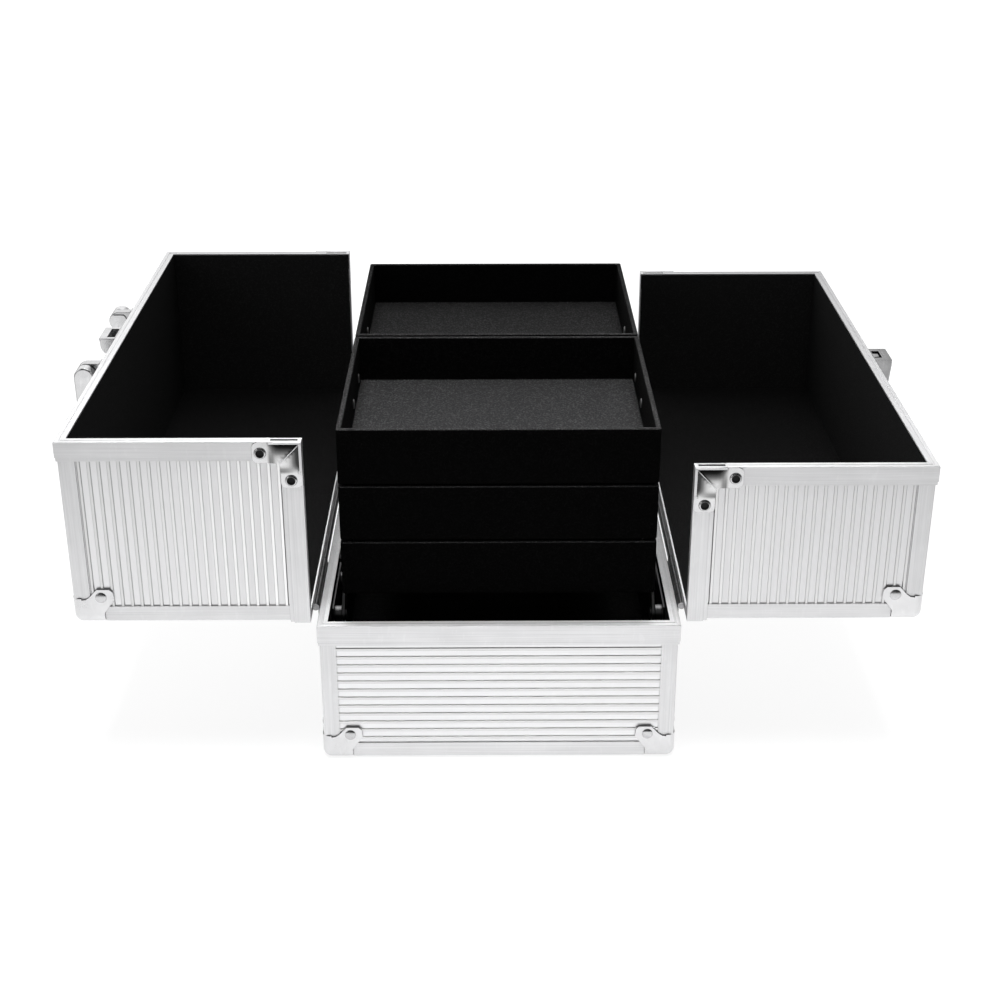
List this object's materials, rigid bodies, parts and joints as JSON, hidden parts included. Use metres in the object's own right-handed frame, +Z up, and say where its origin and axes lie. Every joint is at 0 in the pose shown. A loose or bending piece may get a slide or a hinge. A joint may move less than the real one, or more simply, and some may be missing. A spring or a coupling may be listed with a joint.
{
  "type": "aluminium train case",
  "caption": "Ribbed aluminium-framed train case with two hinged half lids, a folding handle, a slide latch and two stacks of felt trays on swinging arms.",
  "frame": {"origin": "middle of the base, on the plane that the four corner caps stand on", "axes": "+Z up, +Y away from the pictured front, +X towards the right lid, which is the shallower one"},
  "size_m": [0.5138, 0.3646, 0.2059],
  "materials": {
    "ribbed_panel": "fibreboard under a thin ribbed aluminium skin, satin silver",
    "base_board": "black board",
    "felt_lining": "black felt",
    "tray_felt": "fibreboard covered in black felt",
    "aluminium_profile": "satin anodised extrusion",
    "corner_cap": "satin pressed sheet",
    "chrome": "bright plate",
    "tray_arm": "zinc-plated strip",
    "steel": "plated fasteners and hinges",
    "handle_grip": "black moulded grip"
  },
  "bodies": {
    "base": {"base_floor_panel": "base_board", "base_side_panels": "ribbed_panel", "base_end_panels": "ribbed_panel", "base_lining": "felt_lining", "base_edge_angles": "aluminium_profile", "base_rim": "aluminium_profile", "base_corner_caps": "corner_cap", "base_rivets": "steel", "base_hinge_leaves": "steel", "hinge_pins": "steel", "tray_rails": "steel", "rail_pins": "steel"},
    "left_lid": {"left_floor_panel": "ribbed_panel", "left_outer_panel": "ribbed_panel", "left_end_panels": "ribbed_panel", "left_lining": "felt_lining", "left_edge_angles": "aluminium_profile", "left_rims": "aluminium_profile", "left_corner_caps": "corner_cap", "left_corner_brackets": "chrome", "left_fasteners": "steel", "left_hinge_leaves": "steel", "latch_keeper": "chrome", "handle_brackets": "chrome", "handle_pins": "steel"},
    "handle": {"handle_arms": "chrome", "handle_grip": "handle_grip"},
    "right_lid": {"right_floor_panel": "ribbed_panel", "right_outer_panel": "ribbed_panel", "right_end_panels": "ribbed_panel", "right_lining": "felt_lining", "right_edge_angles": "aluminium_profile", "right_rims": "aluminium_profile", "right_corner_caps": "corner_cap", "right_corner_brackets": "chrome", "right_fasteners": "steel", "right_hinge_leaves": "steel", "latch_body": "chrome"},
    "latch_slide": {"latch_slider": "steel"},
    "front_tray_low": {"front_tray_low": "tray_felt", "front_pins_low": "steel"},
    "front_tray_middle": {"front_tray_middle": "tray_felt", "front_pins_middle": "steel"},
    "front_tray_top": {"front_tray_top": "tray_felt", "front_pins_top": "steel"},
    "front_lower_arm_a": {"front_lower_arm_a": "tray_arm"},
    "front_lower_arm_b": {"front_lower_arm_b": "tray_arm"},
    "front_upper_arm_a": {"front_upper_arm_a": "tray_arm"},
    "front_upper_arm_b": {"front_upper_arm_b": "tray_arm"},
    "rear_tray_low": {"rear_tray_low": "tray_felt", "rear_pins_low": "steel"},
    "rear_tray_middle": {"rear_tray_middle": "tray_felt", "rear_pins_middle": "steel"},
    "rear_tray_top": {"rear_tray_top": "tray_felt", "rear_pins_top": "steel"},
    "rear_lower_arm_a": {"rear_lower_arm_a": "tray_arm"},
    "rear_lower_arm_b": {"rear_lower_arm_b": "tray_arm"},
    "rear_upper_arm_a": {"rear_upper_arm_a": "tray_arm"},
    "rear_upper_arm_b": {"rear_upper_arm_b": "tray_arm"}
  },
  "joints": [
    {"name": "left_lid_hinge", "type": "hinge", "parent": "base", "child": "left_lid", "pos_m": [-0.1076, 0, 0.0905], "axis": [0, -1, 0], "range_deg": [-90, 0]},
    {"name": "right_lid_hinge", "type": "hinge", "parent": "base", "child": "right_lid", "pos_m": [0.1076, 0, 0.0905], "axis": [0, 1, 0], "range_deg": [-90, 0]},
    {"name": "handle_swing", "type": "hinge", "parent": "left_lid", "child": "handle", "pos_m": [-0.2532, 0, 0.1979], "axis": [0, 1, 0], "range_deg": [0, 95]},
    {"name": "latch_slide", "type": "slide", "parent": "right_lid", "child": "latch_slide", "axis": [0, 0, 1], "range_m": [0, 0.007]},
    {"name": "front_fold", "type": "hinge", "parent": "base", "child": "front_lower_arm_a", "pos_m": [0, -0.141, 0.0773], "axis": [1, 0, 0], "range_deg": [0, 84]},
    {"name": "front_lower_arm_b_turn", "type": "hinge", "parent": "base", "child": "front_lower_arm_b", "pos_m": [0, -0.097, 0.0773], "axis": [1, 0, 0], "range_deg": [0, 84]},
    {"name": "front_tray_low_level", "type": "hinge", "parent": "front_lower_arm_a", "child": "front_tray_low", "pos_m": [0, -0.109, 0.1125], "axis": [1, 0, 0], "range_deg": [-84, 0]},
    {"name": "front_tray_middle_level", "type": "hinge", "parent": "front_lower_arm_a", "child": "front_tray_middle", "pos_m": [0, -0.077, 0.1477], "axis": [1, 0, 0], "range_deg": [-84, 0]},
    {"name": "front_upper_arm_a_turn", "type": "hinge", "parent": "front_tray_low", "child": "front_upper_arm_a", "pos_m": [0, -0.131, 0.1125], "axis": [1, 0, 0], "range_deg": [0, 84]},
    {"name": "front_upper_arm_b_turn", "type": "hinge", "parent": "front_tray_low", "child": "front_upper_arm_b", "pos_m": [0, -0.087, 0.1125], "axis": [1, 0, 0], "range_deg": [0, 84]},
    {"name": "front_tray_top_level", "type": "hinge", "parent": "front_upper_arm_a", "child": "front_tray_top", "pos_m": [0, -0.067, 0.1829], "axis": [1, 0, 0], "range_deg": [-84, 0]},
    {"name": "rear_fold", "type": "hinge", "parent": "base", "child": "rear_lower_arm_a", "pos_m": [0, 0.141, 0.0773], "axis": [-1, 0, 0], "range_deg": [0, 84]},
    {"name": "rear_lower_arm_b_turn", "type": "hinge", "parent": "base", "child": "rear_lower_arm_b", "pos_m": [0, 0.097, 0.0773], "axis": [-1, 0, 0], "range_deg": [0, 84]},
    {"name": "rear_tray_low_level", "type": "hinge", "parent": "rear_lower_arm_a", "child": "rear_tray_low", "pos_m": [0, 0.109, 0.1125], "axis": [-1, 0, 0], "range_deg": [-84, 0]},
    {"name": "rear_tray_middle_level", "type": "hinge", "parent": "rear_lower_arm_a", "child": "rear_tray_middle", "pos_m": [0, 0.077, 0.1477], "axis": [-1, 0, 0], "range_deg": [-84, 0]},
    {"name": "rear_upper_arm_a_turn", "type": "hinge", "parent": "rear_tray_low", "child": "rear_upper_arm_a", "pos_m": [0, 0.131, 0.1125], "axis": [-1, 0, 0], "range_deg": [0, 84]},
    {"name": "rear_upper_arm_b_turn", "type": "hinge", "parent": "rear_tray_low", "child": "rear_upper_arm_b", "pos_m": [0, 0.087, 0.1125], "axis": [-1, 0, 0], "range_deg": [0, 84]},
    {"name": "rear_tray_top_level", "type": "hinge", "parent": "rear_upper_arm_a", "child": "rear_tray_top", "pos_m": [0, 0.067, 0.1829], "axis": [-1, 0, 0], "range_deg": [-84, 0]}
  ],
  "couplings": [
    {"joint": "front_lower_arm_b_turn", "follows": "front_fold", "ratio": 1},
    {"joint": "front_tray_low_level", "follows": "front_fold", "ratio": -1},
    {"joint": "front_tray_middle_level", "follows": "front_fold", "ratio": -1},
    {"joint": "front_upper_arm_a_turn", "follows": "front_fold", "ratio": 1},
    {"joint": "front_upper_arm_b_turn", "follows": "front_fold", "ratio": 1},
    {"joint": "front_tray_top_level", "follows": "front_fold", "ratio": -1},
    {"joint": "rear_lower_arm_b_turn", "follows": "rear_fold", "ratio": 1},
    {"joint": "rear_tray_low_level", "follows": "rear_fold", "ratio": -1},
    {"joint": "rear_tray_middle_level", "follows": "rear_fold", "ratio": -1},
    {"joint": "rear_upper_arm_a_turn", "follows": "rear_fold", "ratio": 1},
    {"joint": "rear_upper_arm_b_turn", "follows": "rear_fold", "ratio": 1},
    {"joint": "rear_tray_top_level", "follows": "rear_fold", "ratio": -1}
  ]
}
